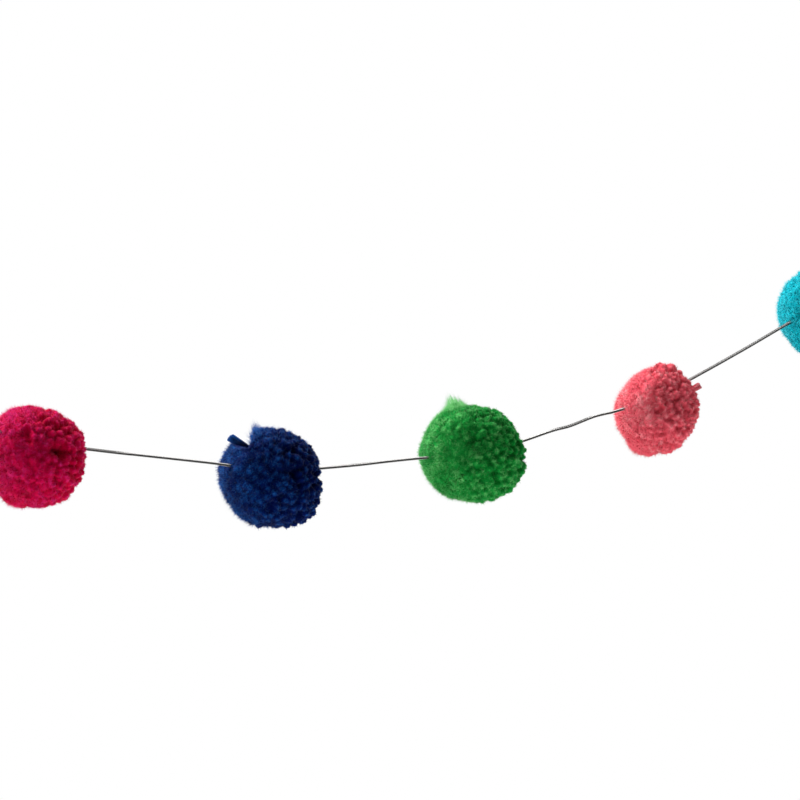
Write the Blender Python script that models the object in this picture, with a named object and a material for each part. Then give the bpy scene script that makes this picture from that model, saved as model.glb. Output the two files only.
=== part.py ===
"""A garland of yarn pompoms on a flat braided cord that hangs between a loop at each end.

Metres, +Z up. The garland hangs in the plane y = 0 and its higher end is at +X. The origin is the point where
the right end's loop bears on whatever holds it. A direction from a ball's centre is given by its bearing,
turned from +X towards +Y, and its elevation above the level, both in degrees.
"""

import math
from collections import namedtuple

import bmesh
import bpy
import numpy as np
from mathutils import Matrix, Vector

Ball = namedtuple("Ball", "name centre radii turn seed colour")
Lump = namedtuple("Lump", "ball bearing elevation spread rise")
Tuft = namedtuple("Tuft", "ball bearing elevation reach")
Parting = namedtuple("Parting", "ball bearing elevation")

# The cord is a flat braid, and its solid is a round tube of the braid's width
CORD_WIDTH = 0.0016
CORD_STATIONS = 80
CLEARANCE = 0.0003
SILVER_GREY = (0.30, 0.29, 0.28)
SILVER_ROUGHNESS = 0.35
SILVER_METALLIC = 0.8
YARN_ROUGHNESS = 0.9

# Steps between two points of a smooth route, and the distance at which doubled points merge
SPAN_STEPS = 24
MERGE_DISTANCE = 1e-6

# The cord's route from the left knot to the right one, as (x, z) in the plane y = 0
ROUTE = (
    (-0.5262, -0.1055),
    (-0.5159, -0.1088),
    (-0.5040, -0.1127),
    (-0.4921, -0.1158),
    (-0.4801, -0.1175),
    (-0.4665, -0.1191),
    (-0.4443, -0.1217),
    (-0.4218, -0.1241),
    (-0.3990, -0.1266),
    (-0.3855, -0.1286),
    (-0.3719, -0.1299),
    (-0.3582, -0.1299),
    (-0.3450, -0.1290),
    (-0.3279, -0.1277),
    (-0.3107, -0.1261),
    (-0.2934, -0.1246),
    (-0.2782, -0.1237),
    (-0.2628, -0.1221),
    (-0.2490, -0.1195),
    (-0.2359, -0.1163),
    (-0.2190, -0.1111),
    (-0.2094, -0.1088),
    (-0.1976, -0.1047),
    (-0.1908, -0.1031),
    (-0.1846, -0.1018),
    (-0.1720, -0.0984),
    (-0.1600, -0.0943),
    (-0.1497, -0.0896),
    (-0.1402, -0.0851),
    (-0.1236, -0.0770),
    (-0.1066, -0.0685),
    (-0.0902, -0.0600),
    (-0.0753, -0.0523),
    (-0.0611, -0.0441),
    (-0.0479, -0.0354),
    (-0.0358, -0.0265),
    (-0.0255, -0.0190),
)

# The balls hang a little below the cord and behind it, because it is threaded off their middles
BALLS = (
    Ball("pompom_magenta", (-0.4906, 0.004, -0.1228), (0.0238, 0.0238, 0.0238), 138, 3, (0.62, 0.001, 0.054)),
    Ball("pompom_blue", (-0.3704, 0.004, -0.1332), (0.0242, 0.0242, 0.0242), 88, 5, (0.004, 0.018, 0.115)),
    Ball("pompom_green", (-0.2617, 0.004, -0.1229), (0.0268, 0.0255, 0.0248), 130, 8, (0.009, 0.28, 0.038)),
    Ball("pompom_pink", (-0.1579, 0.004, -0.1011), (0.0214, 0.0216, 0.0214), 14, 13, (0.90, 0.115, 0.155)),
    Ball("pompom_turquoise", (-0.0588, 0.004, -0.0505), (0.0252, 0.0250, 0.0250), 240, 21, (0.002, 0.46, 0.60)),
)

# Soft rises and hollows in a ball's trim: the spread in degrees, the rise in metres
LUMPS = (
    Lump("pompom_magenta", -25, 25, 14, 0.0015),
    Lump("pompom_magenta", 155, 58, 18, 0.0025),
    Lump("pompom_magenta", 155, -60, 18, 0.0017),
    Lump("pompom_blue", -25, -40, 30, 0.0028),
    Lump("pompom_blue", 155, 10, 22, 0.0012),
    Lump("pompom_green", 155, -75, 22, -0.0018),
    Lump("pompom_pink", -25, 72, 22, 0.0025),
    Lump("pompom_pink", 155, -65, 16, 0.0034),
    Lump("pompom_turquoise", 155, -20, 14, 0.0010),
)

# Yarn ends left longer than the trim, with how far each reaches from the ball's centre
TUFTS = (
    Tuft("pompom_blue", 155, 45.5, 0.0281),
    Tuft("pompom_blue", 155, 73.4, 0.0267),
    Tuft("pompom_blue", 155, 22.0, 0.0262),
    Tuft("pompom_green", 155, 69.0, 0.0312),
    Tuft("pompom_pink", -25, 29.7, 0.0257),
)

# Places where the pile falls apart, apart from those where the cord goes in and out
PARTINGS = (
    Parting("pompom_blue", 155, 56),
    Parting("pompom_blue", -111, -35),
    Parting("pompom_magenta", -120, 25),
)

# Each ball is a core with sixty four-sided locks of yarn
CORE_SHARE = 0.64
ROOT_GAP = 0.0014
LOCK_TAPER = 0.97
TUFT_TAPER = 0.48
LOCK_UNEVENNESS = 0.0006
LOCK_LEAN = 0.0004
TIP_ROUNDING = 0.24
TIP_CROWN = 0.0019
CORNER_UNEVENNESS = 0.045
PARTING_SPREAD = 24

# The knot and loop at each end of the cord
KNOT_LENGTH = 0.0065
KNOT_END_RADIUS = 0.0018
KNOT_VALLEY_RADIUS = 0.0021
KNOT_RIDGE_RADIUS = 0.0026
KNOT_WRAPS = 4
RIDGE_START = 0.3
RIDGE_STOP = 0.7
KNOT_SIDES = 12
LOOP_REACH = 0.025
LOOP_HALF_WIDTH = 0.0046
LOOP_FULLNESS = 1.3
LOOP_FOOT = 0.0009
LOOP_SUNK = 0.001
LOOP_STATIONS = 30
TAIL_ROUTE = ((0.0016, -0.0009), (-0.0004, -0.0026), (-0.0020, -0.0050), (-0.0031, -0.0079), (-0.0036, -0.0112))
TAIL_STATIONS = 8


def clear_scene():
    for thing in list(bpy.data.objects):
        bpy.data.objects.remove(thing)


def add_object(name, data):
    thing = bpy.data.objects.new(name, data)
    bpy.context.scene.collection.objects.link(thing)
    return thing


def hide_helper(helper):
    helper.hide_render = True
    helper.display_type = "WIRE"


def make_material(name, colour, roughness, metallic):
    material = bpy.data.materials.new(name)
    material.use_nodes = True
    surface = material.node_tree.nodes["Principled BSDF"]
    surface.inputs["Base Color"].default_value = (*colour, 1.0)
    surface.inputs["Roughness"].default_value = roughness
    surface.inputs["Metallic"].default_value = metallic
    return material


def smooth_through(points, count):
    """Evenly spaced points on the Catmull-Rom curve through the given ones."""
    points = np.array(points, float)
    padded = np.vstack([2 * points[0] - points[1], points, 2 * points[-1] - points[-2]])
    share = np.linspace(0, 1, SPAN_STEPS, endpoint=False)[:, None]
    spans = []
    for before, start, end, after in zip(padded, padded[1:], padded[2:], padded[3:]):
        spans.append(
            0.5
            * (
                2 * start
                + (end - before) * share
                + (2 * before - 5 * start + 4 * end - after) * share**2
                + (3 * start - before - 3 * end + after) * share**3
            )
        )
    dense = np.vstack([*spans, points[-1:]])
    travelled = np.concatenate([[0], np.cumsum(np.linalg.norm(np.diff(dense, axis=0), axis=1))])
    stations = np.linspace(0, travelled[-1], count)
    return np.column_stack([np.interp(stations, travelled, dense[:, axis]) for axis in range(dense.shape[1])])


def add_tube(name, points, radius):
    """A round tube with closed ends along the points, as a curve object."""
    curve = bpy.data.curves.new(name, "CURVE")
    curve.dimensions = "3D"
    curve.bevel_depth = radius
    curve.bevel_resolution = 2
    curve.use_fill_caps = True
    spline = curve.splines.new("POLY")
    spline.points.add(len(points) - 1)
    for place, point in zip(spline.points, points):
        place.co = (*point, 1.0)
    return add_object(name, curve)


def tube_as_mesh(name, points, radius):
    """The same tube as a closed mesh object, for the Booleans."""
    tube = add_tube(name + "_curve", points, radius)
    mesh = bpy.data.meshes.new_from_object(tube.evaluated_get(bpy.context.evaluated_depsgraph_get()))
    bpy.data.objects.remove(tube)
    shape = bmesh.new()
    shape.from_mesh(mesh)
    bmesh.ops.remove_doubles(shape, verts=shape.verts, dist=MERGE_DISTANCE)
    bmesh.ops.recalc_face_normals(shape, faces=shape.faces)
    shape.to_mesh(mesh)
    shape.free()
    mesh.name = name
    return add_object(name, mesh)


def add_boolean(target, operation, other):
    boolean = target.modifiers.new(other.name, "BOOLEAN")
    boolean.operation = operation
    boolean.solver = "EXACT"
    boolean.object = other
    hide_helper(other)


def direction_to(bearing, elevation):
    bearing, elevation = math.radians(bearing), math.radians(elevation)
    level = math.cos(elevation)
    return np.array([level * math.cos(bearing), level * math.sin(bearing), math.sin(elevation)])


def angle_between(directions, target):
    return np.degrees(np.arccos(np.clip(directions @ target, -1, 1)))


def pile_reach(ball, direction):
    """How far the trimmed pile reaches that way: the ball's own radii, with its lumps as soft bells on top."""
    reach = 1 / np.linalg.norm(direction / np.array(ball.radii))
    for lump in LUMPS:
        if lump.ball == ball.name:
            away = angle_between(direction, direction_to(lump.bearing, lump.elevation))
            reach += lump.rise * math.exp(-((away / lump.spread) ** 2))
    return reach


def kite_ball():
    """(directions, faces) of sixty four-cornered faces: an icosahedron's twenty, each split from its middle to
    the middles of its three edges."""
    ball = bmesh.new()
    bmesh.ops.create_icosphere(ball, subdivisions=1, radius=1.0)
    directions = []
    index_of = {}

    def corner(members):
        key = frozenset(vertex.index for vertex in members)
        if key not in index_of:
            index_of[key] = len(directions)
            directions.append(sum((vertex.co for vertex in members), Vector()).normalized())
        return index_of[key]

    faces = []
    for face in ball.faces:
        for vertex, following, previous in zip(
            face.verts, face.verts[1:] + face.verts[:1], face.verts[-1:] + face.verts[:-1]
        ):
            faces.append(
                (
                    corner([vertex]),
                    corner([vertex, following]),
                    corner(list(face.verts)),
                    corner([vertex, previous]),
                )
            )
    ball.free()
    return np.array(directions), faces


def draw_corner_onto(directions, target):
    """Moves the corner nearest the target onto it, and the corners round about part of the way."""
    nearest = directions[np.argmin(angle_between(directions, target))]
    nearness = np.exp(-((angle_between(directions, nearest) / PARTING_SPREAD) ** 2))
    moved = directions + nearness[:, None] * (target - nearest)
    return moved / np.linalg.norm(moved, axis=1, keepdims=True)


def cord_crossings(ball, cord_points):
    """The directions, from the ball's centre, in which the cord goes into the ball and comes out."""
    offsets = cord_points - np.array(ball.centre)
    inside = np.flatnonzero(np.linalg.norm(offsets, axis=1) < np.mean(ball.radii))
    ends = offsets[[inside[0], inside[-1]]]
    return ends / np.linalg.norm(ends, axis=1, keepdims=True)


def lock_corners(ball, cord_points):
    """The corners between the ball's locks, drawn to where the pile parts."""
    directions, faces = kite_ball()
    directions = directions @ np.array(Matrix.Rotation(math.radians(ball.turn), 3, "X")).T
    random = np.random.default_rng(ball.seed)
    directions = directions + random.normal(0, CORNER_UNEVENNESS, directions.shape)
    directions /= np.linalg.norm(directions, axis=1, keepdims=True)
    targets = [direction_to(p.bearing, p.elevation) for p in PARTINGS if p.ball == ball.name]
    targets.extend(cord_crossings(ball, cord_points))
    for target in targets:
        directions = draw_corner_onto(directions, target)
    return directions, faces


def lock_tips(ball, middles):
    """Where each lock's tip is, and how wide it is there against its root: along its root's own direction as far
    as the trimmed pile, or at a tuft's place and slimmer where it is the lock nearest a tuft."""
    random = np.random.default_rng(ball.seed + 1)
    tips = []
    tapers = []
    for middle in middles:
        direction = middle / np.linalg.norm(middle)
        reach = pile_reach(ball, direction) + random.uniform(-1, 1) * LOCK_UNEVENNESS
        tips.append(direction * (reach - TIP_CROWN) + random.uniform(-1, 1, 3) * LOCK_LEAN)
        tapers.append(LOCK_TAPER)
    for tuft in TUFTS:
        if tuft.ball == ball.name:
            direction = direction_to(tuft.bearing, tuft.elevation)
            nearest = int(np.argmax(middles @ direction / np.linalg.norm(middles, axis=1)))
            tips[nearest] = direction * (tuft.reach - TIP_CROWN)
            tapers[nearest] = TUFT_TAPER
    return tips, tapers


def make_pompom(ball, cord_points, channel):
    """A core with a four-sided lock grown from each of its faces, and a channel for the cord cut through it."""
    directions, faces = lock_corners(ball, cord_points)
    shape = bmesh.new()
    corners = [shape.verts.new(d * CORE_SHARE * pile_reach(ball, d)) for d in directions]
    roots = [shape.faces.new([corners[i] for i in face]) for face in faces]
    bmesh.ops.recalc_face_normals(shape, faces=shape.faces)
    bmesh.ops.inset_individual(shape, faces=roots, thickness=ROOT_GAP / 2, use_even_offset=True)
    middles = np.array([root.calc_center_median() for root in roots])
    locks = bmesh.ops.extrude_discrete_faces(shape, faces=roots)["faces"]
    for lock, middle, tip, taper in zip(locks, middles, *lock_tips(ball, middles)):
        growth = taper * np.linalg.norm(tip) / np.linalg.norm(middle)
        for vertex in lock.verts:
            vertex.co = Vector(tip) + (vertex.co - Vector(middle)) * growth
        shape.normal_update()
        rounding = TIP_ROUNDING * math.sqrt(lock.calc_area())
        bmesh.ops.inset_individual(
            shape, faces=[lock], thickness=rounding, depth=TIP_CROWN, use_even_offset=True
        )
    mesh = bpy.data.meshes.new(ball.name)
    shape.to_mesh(mesh)
    shape.free()
    mesh.materials.append(make_material(ball.name.replace("pompom", "yarn"), ball.colour, YARN_ROUGHNESS, 0.0))
    pompom = add_object(ball.name, mesh)
    pompom.location = ball.centre
    add_boolean(pompom, "DIFFERENCE", channel)


def knot_mesh():
    """A turned barrel along local +X with a ridge for each wrap of the cord, and flat ends."""
    wrap = KNOT_LENGTH / KNOT_WRAPS
    profile = [(0.0, 0.0), (0.0, KNOT_END_RADIUS)]
    for turn in range(KNOT_WRAPS):
        profile.append(((turn + RIDGE_START) * wrap, KNOT_RIDGE_RADIUS))
        profile.append(((turn + RIDGE_STOP) * wrap, KNOT_RIDGE_RADIUS))
        if turn < KNOT_WRAPS - 1:
            profile.append(((turn + 1) * wrap, KNOT_VALLEY_RADIUS))
    profile.extend([(KNOT_LENGTH, KNOT_END_RADIUS), (KNOT_LENGTH, 0.0)])
    shape = bmesh.new()
    outline = [shape.verts.new((along, 0.0, out)) for along, out in profile]
    edges = [shape.edges.new(pair) for pair in zip(outline, outline[1:])]
    bmesh.ops.spin(
        shape, geom=outline + edges, cent=(0, 0, 0), axis=(1, 0, 0), angle=2 * math.pi, steps=KNOT_SIDES
    )
    bmesh.ops.remove_doubles(shape, verts=shape.verts, dist=MERGE_DISTANCE)
    bmesh.ops.recalc_face_normals(shape, faces=shape.faces)
    mesh = bpy.data.meshes.new("knot")
    shape.to_mesh(mesh)
    shape.free()
    return mesh


def loop_points():
    """A drop-shaped loop in the local XZ plane, from the knot out to its reach and back beside itself."""
    angle = np.linspace(0, 2 * math.pi, LOOP_STATIONS)
    start = KNOT_LENGTH - LOOP_SUNK
    reach = KNOT_LENGTH + LOOP_REACH + CORD_WIDTH / 2 - start
    along = start + reach * (1 - np.cos(angle)) / 2
    swell = np.sin(angle) * np.sin(angle / 2)
    across = LOOP_FULLNESS * LOOP_HALF_WIDTH * swell + LOOP_FOOT * np.cos(angle / 2)
    return np.column_stack([along, np.zeros(LOOP_STATIONS), across])


def make_end_loop(name, end, inner, silver):
    """The knot, loop and tail at one end of the cord, as one solid. Local +X runs on outwards from the cord's
    end, and local +Z is the side that faces up."""
    outwards = Vector((end[0] - inner[0], 0, end[2] - inner[2])).normalized()
    upwards = Vector((-outwards.z, 0, outwards.x))
    if upwards.z < 0:
        upwards.negate()
    place = Matrix((outwards, upwards.cross(outwards), upwards)).transposed().to_4x4()
    place.translation = Vector(end) + outwards * CLEARANCE
    mesh = knot_mesh()
    mesh.materials.append(silver)
    knot = add_object(name, mesh)
    tail = smooth_through([(along, 0, across) for along, across in TAIL_ROUTE], TAIL_STATIONS)
    loop = tube_as_mesh(name + "_loop", loop_points(), CORD_WIDTH / 2)
    tail = tube_as_mesh(name + "_tail", tail, CORD_WIDTH / 2)
    for piece in (knot, loop, tail):
        piece.matrix_world = place
    add_boolean(knot, "UNION", loop)
    add_boolean(knot, "UNION", tail)


def main():
    clear_scene()
    silver = make_material("cord_silver", SILVER_GREY, SILVER_ROUGHNESS, SILVER_METALLIC)
    cord_points = smooth_through([(x, 0, z) for x, z in ROUTE], CORD_STATIONS)
    cord = add_tube("cord", cord_points, CORD_WIDTH / 2)
    cord.data.materials.append(silver)
    channel = tube_as_mesh("cord_channel", cord_points, CORD_WIDTH / 2 + CLEARANCE)
    hide_helper(channel)
    for ball in BALLS:
        make_pompom(ball, cord_points, channel)
    make_end_loop("end_loop_left", cord_points[0], cord_points[1], silver)
    make_end_loop("end_loop_right", cord_points[-1], cord_points[-2], silver)


if __name__ == "__main__":
    main()
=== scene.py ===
"""A garland of yarn pompoms on a flat plaited metallic cord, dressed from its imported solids.

Metres, +Z up. The garland hangs in the plane y = 0, its higher end at +X, and the origin is where the right
end's loop bears on its hook. A direction from a ball's centre is a bearing, turned from +X towards +Y, and
an elevation above the level, both in degrees.
"""

import math
from collections import namedtuple

import bpy
import numpy as np
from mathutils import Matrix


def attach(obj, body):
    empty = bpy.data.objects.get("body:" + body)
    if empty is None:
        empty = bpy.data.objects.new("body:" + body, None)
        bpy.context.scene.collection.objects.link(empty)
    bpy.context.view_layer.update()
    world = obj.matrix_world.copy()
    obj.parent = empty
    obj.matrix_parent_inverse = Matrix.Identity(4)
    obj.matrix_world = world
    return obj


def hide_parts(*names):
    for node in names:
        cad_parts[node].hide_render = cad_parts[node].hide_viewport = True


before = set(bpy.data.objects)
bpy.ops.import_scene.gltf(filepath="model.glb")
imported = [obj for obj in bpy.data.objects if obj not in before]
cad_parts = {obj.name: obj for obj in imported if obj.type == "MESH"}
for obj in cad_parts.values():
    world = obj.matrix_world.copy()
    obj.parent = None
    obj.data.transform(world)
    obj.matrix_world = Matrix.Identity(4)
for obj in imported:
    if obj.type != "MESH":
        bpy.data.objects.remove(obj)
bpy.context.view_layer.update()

bl_info = {
    "name": "Yarn pompom garland",
    "version": (1, 0, 0),
    "blender": (4, 5, 0),
    "location": "3D View > Sidebar > Garland",
    "description": "Makes the pompoms, the plaited cord and the end loops of a hanging garland",
    "category": "Add Mesh",
}

Ball = namedtuple("Ball", "name centre radii seed depth bloom")
Lump = namedtuple("Lump", "ball bearing elevation spread rise")
Groove = namedtuple("Groove", "ball start stop half_width")
Tuft = namedtuple("Tuft", "ball bearing elevation lean reach width wisps fray paleness")
Patch = namedtuple("Patch", "vertices quads triangles tone")
Ends = namedtuple("Ends", "directions reach crease fray tone")

# The cord's route from the left knot to the right one, as (x, z) in the plane y = 0
ROUTE = (
    (-0.5262, -0.1055),
    (-0.5159, -0.1088),
    (-0.5040, -0.1127),
    (-0.4921, -0.1158),
    (-0.4801, -0.1175),
    (-0.4665, -0.1191),
    (-0.4443, -0.1217),
    (-0.4218, -0.1241),
    (-0.3990, -0.1266),
    (-0.3855, -0.1286),
    (-0.3719, -0.1299),
    (-0.3582, -0.1299),
    (-0.3450, -0.1290),
    (-0.3279, -0.1277),
    (-0.3107, -0.1261),
    (-0.2934, -0.1246),
    (-0.2782, -0.1237),
    (-0.2628, -0.1221),
    (-0.2490, -0.1195),
    (-0.2359, -0.1163),
    (-0.2190, -0.1111),
    (-0.2094, -0.1088),
    (-0.1976, -0.1047),
    (-0.1908, -0.1031),
    (-0.1846, -0.1018),
    (-0.1720, -0.0984),
    (-0.1600, -0.0943),
    (-0.1497, -0.0896),
    (-0.1402, -0.0851),
    (-0.1236, -0.0770),
    (-0.1066, -0.0685),
    (-0.0902, -0.0600),
    (-0.0753, -0.0523),
    (-0.0611, -0.0441),
    (-0.0479, -0.0354),
    (-0.0358, -0.0265),
    (-0.0255, -0.0190),
)
CLEARANCE = 0.0003
SPAN_STEPS = 24

# How the flat braid turns on its way, as (x, degrees): at 0 its flat side faces the front, at 90 it faces up
TURNS = (
    (-0.530, 30),
    (-0.467, 38),
    (-0.453, 38),
    (-0.447, 60),
    (-0.443, 82),
    (-0.399, 80),
    (-0.345, 78),
    (-0.325, 60),
    (-0.311, 85),
    (-0.236, 85),
    (-0.222, 80),
    (-0.214, 42),
    (-0.200, 45),
    (-0.196, 80),
    (-0.192, 92),
    (-0.184, 88),
    (-0.140, 48),
    (-0.090, 48),
    (-0.020, 60),
)

# The balls hang a little below the cord and behind it, because it is threaded off their middles. In each row
# the second to last value sets how light the painted shade between the ball's ends is, and the last is the
# painted highlight added to the colour of its cut tips
BALLS = (
    Ball("magenta", (-0.4906, 0.004, -0.1228), (0.0238, 0.0238, 0.0238), 3, 0.95, (0.10, 0.03, 0.19)),
    Ball("blue", (-0.3704, 0.004, -0.1332), (0.0242, 0.0242, 0.0242), 5, 0.60, (0.01, 0.10, 0.32)),
    Ball("green", (-0.2617, 0.004, -0.1229), (0.0268, 0.0255, 0.0248), 8, 0.60, (0.17, 0.28, 0.14)),
    Ball("pink", (-0.1579, 0.004, -0.1011), (0.0214, 0.0216, 0.0214), 13, 0.85, (0.00, 0.29, 0.26)),
    Ball("turquoise", (-0.0588, 0.004, -0.0505), (0.0246, 0.0246, 0.0246), 21, 0.75, (0.05, 0.10, 0.08)),
)

# Soft rises and hollows in a ball's trim: the spread in degrees, the rise in metres
LUMPS = (
    Lump("magenta", -25, 25, 14, 0.0015),
    Lump("magenta", 155, 58, 18, 0.0025),
    Lump("magenta", 155, -57, 18, 0.0026),
    Lump("magenta", -25, -55, 22, 0.0007),
    Lump("blue", -25, -40, 30, 0.0038),
    Lump("blue", 155, 10, 22, 0.0012),
    Lump("blue", 155, 39, 6, 0.0020),
    Lump("blue", 155, -70, 12, 0.0014),
    Lump("blue", -25, -60, 14, 0.0012),
    Lump("blue", -25, 35, 25, 0.0006),
    Lump("green", 155, -75, 22, -0.0018),
    Lump("green", 155, 62, 14, 0.0010),
    Lump("green", -25, -40, 12, 0.0014),
    Lump("green", 155, -40, 14, -0.0010),
    Lump("green", -25, 2, 10, 0.0012),
    Lump("green", 155, 20, 14, -0.0012),
    Lump("green", 155, -22, 22, -0.0012),
    Lump("green", -25, 22, 16, -0.0012),
    Lump("green", -25, -20, 9, 0.0014),
    Lump("pink", -25, 76, 24, 0.0036),
    Lump("pink", 155, -65, 16, 0.0034),
    Lump("pink", 155, 35, 24, -0.0016),
    Lump("pink", -25, 25, 18, 0.0010),
    Lump("pink", -25, -78, 25, 0.0014),
    Lump("turquoise", 155, -32, 14, -0.0010),
)

# Clefts where the pile falls apart, each along the line between two (bearing, elevation) directions and
# widest half way; the widths are in ball radii
GROOVES = (
    Groove("magenta", (-117, 14), (-124, 40), 0.08),
    Groove("blue", (214, 37.0), (95.5, 37.0), 0.225),
    Groove("blue", (-111, -24), (-112, -47), 0.09),
    Groove("blue", (-85, 8), (-71, -14), 0.09),
    Groove("pink", (-122, -4), (-108, 6), 0.08),
    Groove("pink", (-73, 12), (-73, -14), 0.08),
)

# Yarn ends left longer than the trim. An end stands this many degrees higher at its root than at its tip;
# fray 0 is a blunt plied finger and 1 an open fan, and the last value lifts the end's wisps into the painted
# highlight
TUFTS = (
    Tuft("blue", 155, 44.5, 9, 0.0281, 0.0038, 200, 0.06, 1.1),
    Tuft("blue", 155, 73.0, 0, 0.0294, 0.0070, 500, 0.50, 1.4),
    Tuft("blue", 155, 79.0, 0, 0.0272, 0.0034, 120, 0.45, 1.3),
    Tuft("blue", 155, 64.5, 7, 0.0272, 0.0032, 110, 0.50, 1.4),
    Tuft("blue", 155, 57.5, 13, 0.0228, 0.0028, 90, 0.50, 1.4),
    Tuft("blue", 155, 38.5, 5, 0.0270, 0.0046, 260, 0.45, 1.2),
    Tuft("blue", 155, 24.0, 0, 0.0272, 0.0024, 70, 0.60, 1.3),
    Tuft("green", 155, 68.5, 0, 0.0332, 0.0126, 1100, 0.50, 1.5),
    Tuft("pink", -25, 30.0, 0, 0.0254, 0.0031, 120, 0.03, 1.1),
)

# The solid middle of a long yarn end, from its root to its cut tip: where its rings are, how wide it is
# there, and how its plies show. It is shorter and thinner the more the end is frayed. Its root is painted
# dark as shade, and the whole middle a little darker than the wisps round it, as painted shade
END_STATIONS = (0.0, 0.55, 0.80, 0.94)
END_SWELL = (0.50, 0.86, 0.90, 0.66)
END_SIDES = 6
ROOT_SHARE = 0.60
SHADED_ROOT_TONE = 0.15
PLIES = 3
PLY_DEPTH = 0.14
PLY_TWIST = 2.6
MIDDLE_UNEVENNESS = 0.12
MIDDLE_SHORT = 0.34
MIDDLE_THIN = 0.8
SHADED_MIDDLE_TONE = 0.8

# The brush of wisps round it: how much shorter the outer ones are and how ragged, where they start, how their
# tips scatter, and how light and how thick they are, with painted shade at their roots
WISP_WIDTH = 0.00050
WISP_WIDTHS = (0.7, 1.4)
WISP_FULL = 1.1
WISP_THINNED = 0.6
TUFT_POINT = 0.42
TUFT_RAGGED = 0.16
TUFT_FOOT = 0.66
TUFT_GATHERED = 0.8
TUFT_SCATTER = 0.00010
FRAYED_SCATTER = 0.0012
TUFT_TONES = (0.8, 1.1)
TUFT_SHADED_ROOT_TONE = 0.45
POINTED_FRAY = 0.3

# How the cut yarn ends are spread over a ball, lean in swirls and stand in the trim. Fray grows from the
# right to the left, and a frayed end's dome has a shallower crease round it
LARGEST_RADIUS = 0.0257
SPREAD_ROUNDS = 14
PUSH_SPREAD = 0.6
PUSH = 0.45
SPREAD_JITTER = 0.03
SWIRLS = 26
SWIRL_SPREAD = 0.38
SWIRL_LEAN = 0.085
TRIM_RISE = 0.0005
TRIM_RANGE = (-1, 0.6)
FRAY_MIDDLE = 0.5
FRAY_SLOPE = 0.55
FRAY_SCATTER = 0.10
FRAY_RANGE = (0.05, 1.0)
CREASE = 0.0017
CREASE_RANGE = (0.6, 1.5)
SMOOTHED = 0.86
END_TONES = (0.74, 1.04)

# The pile's skin, its rings of latitude, and the painted shade in its creases and clefts. The honeycomb is a
# hexagon's width squared against its area
SKIN_ROWS = 108
SKIN_DROP = 0.0008
SKIN_ROUGHNESS = 0.00018
SKIN_TONES = (0.75, 1.15)
HONEYCOMB = 1.1547
CREASE_SHADE = 0.62
FRAYED_SHADE = 0.50
CREASE_LIMIT = 1.35
CLEFT_EDGE = 0.022
CLEFT_SHARE = 1.3
CLEFT_SHADE = 0.5
GROOVE_SQUEEZE = 0.55
COMBED_PART = 0.6

# The loose fibres all over the skin, with how far the longest reach past the trim, and their tones: painted
# shade at the root and a painted highlight at the tip
FRINGE = 0.0019
FRINGE_LEAST = 0.3
FRINGE_POWER = 1.3
FIBRE_LEAN = 0.9
FRAYED_LEAN = 0.35
FIBRE_SCATTER = 0.75
SHORT_FIBRE = 0.5
FRAYED_FIBRE = 0.6
FIBRE_LENGTHS = (0.35, 1.2)
FIBRE_WIDTHS = (0.7, 1.3)
FIBRE_TONES = (0.75, 1.25)
FIBRE_SHADED_ROOT_TONE = 0.62
FIBRE_HIGHLIGHT_TONE = 1.8
FIBRE_SUNK = 0.0003
THICKER_EVERY = 4
THICKER_SHARE = 2.4
NEEDLE_SIDES = 3
HEAD_SHARE = 0.8

# The pile parts round the cord, which is looked for this far from a ball's centre
PILE_CLEARANCE = 0.00092
CORD_SEARCH = 0.035
LEAST_GAP = 1e-6

# A strand's share of the braid's width and thickness, the share of its swing that it makes, how far its
# section's corners stand out, and its painted shade: at the braid's edge, where it dives, and on its flanks
STRAND_WIDTH = 0.34
STRAND_DEPTH = 0.56
SWING_SHARE = 0.9
SECTION_REACH = 0.62
EDGE_SHADE = 0.7
SHADED_DIVE_TONE = 0.60
SHADED_FLANK_TONE = 0.36
FLANK_SHADE = 0.5

# The knot and loop at each end of the cord
CORD_HALF_WIDTH = 0.0008
KNOT_LENGTH = 0.0065
KNOT_RADIUS = 0.00218
KNOT_END_RADIUS = 0.0015
KNOT_FULLNESS = 0.4
KNOT_WRAPS = 4
WRAP_STEPS = 30
LOOP_STEPS = 60
LOOP_REACH = 0.025
LOOP_HALF_WIDTH = 0.0046
LOOP_FULLNESS = 1.3
LOOP_FOOT = 0.0009
LOOP_SUNK = 0.001
TAIL_ROUTE = (
    (0.0016, -0.0009),
    (-0.0004, -0.0026),
    (-0.0020, -0.0050),
    (-0.0031, -0.0079),
    (-0.0036, -0.0112),
)

# The scales of the patterns in the materials, in cells a metre
BLOTCH_SCALE = 260
GRAIN_SCALE = 2600
GLINT_SCALE = 4200
GRAIN_DEPTH = 0.0002
GLINT_DEPTH = 0.00003

# Where the key light stands from the picture's middle, and how the surround darkens towards the camera's side
KEY_LEFT = 0.6
KEY_BEHIND = 0.25
KEY_ABOVE = 1.0
KEY_SIZE = 0.8
DARK_TURN = 0.4
DARK_DROP = 0.15
DARK_FROM = -0.35
DARK_TO = 0.45
FLOOR_THICKNESS = 0.01

# The camera looks a little from the left, level with the garland
CAMERA_TARGET = (-0.3032, 0.0, -0.0959)
CAMERA_AZIMUTH = -25
CAMERA_DISTANCE = 2.0
CAMERA_LENS = 183.67


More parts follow.
